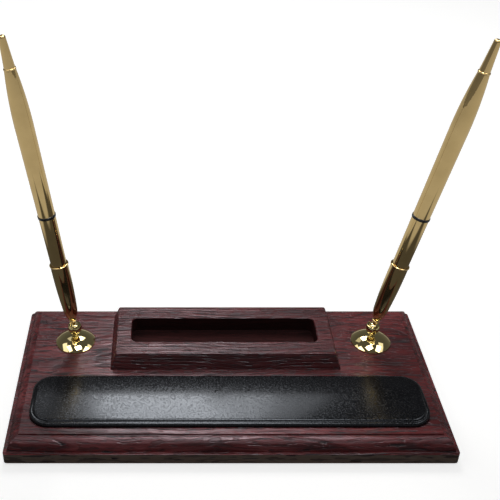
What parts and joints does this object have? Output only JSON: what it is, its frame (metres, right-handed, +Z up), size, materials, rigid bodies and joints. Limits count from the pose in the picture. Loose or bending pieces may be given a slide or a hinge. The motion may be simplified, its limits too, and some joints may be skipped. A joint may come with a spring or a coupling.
{
  "type": "pen and phone stand",
  "caption": "Moulded wooden desk stand with a padded leather strip, a slotted block for a phone and gilt twist pens standing in swivelling cups.",
  "frame": {"origin": "on the desk, under the middle of the board, at the underside of the felt", "axes": "+X along the board to the right, +Y to the back, +Z up"},
  "size_m": [0.2608, 0.127, 0.2155],
  "materials": {
    "wood": "dark red stain, open grain, satin lacquer",
    "leather": "fine grained, low sheen",
    "foam": "open cell foam",
    "hardboard": "pressed board",
    "felt": "felt",
    "gold": "polished pale gold plate",
    "brass": "polished yellow gold plate",
    "steel": "zinc plated",
    "black_ring": "gloss black",
    "core_plastic": "moulded"
  },
  "bodies": {
    "stand": {"felt_underlay": "felt", "wood_base": "wood", "phone_block": "wood", "block_screws": "steel", "pad_board": "hardboard", "pad_foam": "foam", "leather_cover": "leather", "left_dome": "brass", "right_dome": "brass"},
    "left_swivel": {"left_ball_socket": "brass", "left_spring_washer": "steel", "left_post_nut": "steel"},
    "left_holder": {"left_ball_stud": "brass", "left_pen_cup": "gold"},
    "left_pen": {"left_pen_nose": "gold", "left_lower_barrel": "gold"},
    "left_pen_top": {"left_centre_ring": "black_ring", "left_twist_core": "core_plastic", "left_upper_barrel": "gold", "left_tail_ring": "gold", "left_tail_cap": "gold"},
    "left_pen_refill": {"left_refill": "steel"},
    "right_swivel": {"right_ball_socket": "brass", "right_spring_washer": "steel", "right_post_nut": "steel"},
    "right_holder": {"right_ball_stud": "brass", "right_pen_cup": "gold"},
    "right_pen": {"right_pen_nose": "gold", "right_lower_barrel": "gold"},
    "right_pen_top": {"right_centre_ring": "black_ring", "right_twist_core": "core_plastic", "right_upper_barrel": "gold", "right_tail_ring": "gold", "right_tail_cap": "gold"},
    "right_pen_refill": {"right_refill": "steel"}
  },
  "joints": [
    {"name": "left_swivel_turn", "type": "hinge", "parent": "stand", "child": "left_swivel", "pos_m": [-0.0935, 0.025, 0.0266], "axis": [0, 0, 1], "continuous": true},
    {"name": "left_holder_tilt", "type": "hinge", "parent": "left_swivel", "child": "left_holder", "pos_m": [-0.0935, 0.025, 0.0266], "axis": [0, 1, 0], "range_deg": [-14.2, 29.8]},
    {"name": "left_pen_lift", "type": "slide", "parent": "left_holder", "child": "left_pen", "axis": [-0.1357, 0, 0.9907], "range_m": [0, 0.04]},
    {"name": "left_pen_twist", "type": "hinge", "parent": "left_pen", "child": "left_pen_top", "pos_m": [-0.0935, 0.025, 0.0266], "axis": [-0.1357, 0, 0.9907], "range_deg": [0, 180]},
    {"name": "left_refill_feed", "type": "slide", "parent": "left_pen", "child": "left_pen_refill", "axis": [-0.1357, 0, 0.9907], "range_m": [-0.003, 0]},
    {"name": "right_swivel_turn", "type": "hinge", "parent": "stand", "child": "right_swivel", "pos_m": [0.0935, 0.025, 0.0266], "axis": [0, 0, 1], "continuous": true},
    {"name": "right_holder_tilt", "type": "hinge", "parent": "right_swivel", "child": "right_holder", "pos_m": [0.0935, 0.025, 0.0266], "axis": [0, 1, 0], "range_deg": [-33.7, 10.3]},
    {"name": "right_pen_lift", "type": "slide", "parent": "right_holder", "child": "right_pen", "axis": [0.2028, 0, 0.9792], "range_m": [0, 0.04]},
    {"name": "right_pen_twist", "type": "hinge", "parent": "right_pen", "child": "right_pen_top", "pos_m": [0.0935, 0.025, 0.0266], "axis": [0.2028, 0, 0.9792], "range_deg": [0, 180]},
    {"name": "right_refill_feed", "type": "slide", "parent": "right_pen", "child": "right_pen_refill", "axis": [0.2028, 0, 0.9792], "range_m": [-0.003, 0]}
  ],
  "couplings": [
    {"joint": "left_pen_twist", "follows": "left_refill_feed", "rad_per_m": -1047.2},
    {"joint": "right_pen_twist", "follows": "right_refill_feed", "rad_per_m": -1047.2}
  ]
}
